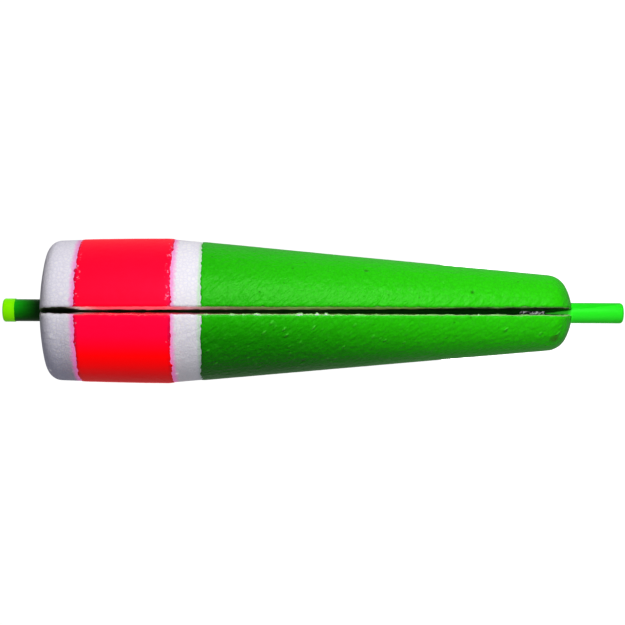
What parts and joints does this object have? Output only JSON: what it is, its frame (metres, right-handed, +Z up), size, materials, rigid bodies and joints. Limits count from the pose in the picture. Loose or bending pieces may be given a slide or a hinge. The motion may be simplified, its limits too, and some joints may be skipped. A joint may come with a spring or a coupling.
{
  "type": "fishing peg float",
  "caption": "Slotted foam peg float: a tapered foam body with a line slot and centre bore, held on the line by a push-in stick with a dipped tip.",
  "frame": {"origin": "on the float's axis at its lowest point, the free end of the stick", "axes": "+Z up the float's axis to the wide banded head, -Y out through the line slot"},
  "size_m": [0.028, 0.028, 0.1191],
  "materials": {
    "bare_foam": "matt beaded foam",
    "red_paint": "smooth fluorescent paint",
    "green_paint": "satin paint over beaded foam",
    "stick_plastic": "smooth moulded plastic",
    "tip_dip": "dipped fluorescent paint",
    "ballast_metal": "dull scraped lead"
  },
  "bodies": {
    "float": {"foam_body": "bare_foam", "red_paint_band": "red_paint", "green_paint_coat": "green_paint", "ballast_collar": "ballast_metal"},
    "stick": {"stick": "stick_plastic", "tip_coat": "tip_dip"}
  },
  "joints": [
    {"name": "stick_slide", "type": "slide", "parent": "float", "child": "stick", "axis": [0, 0, 1], "range_m": [0, 0.112]}
  ]
}
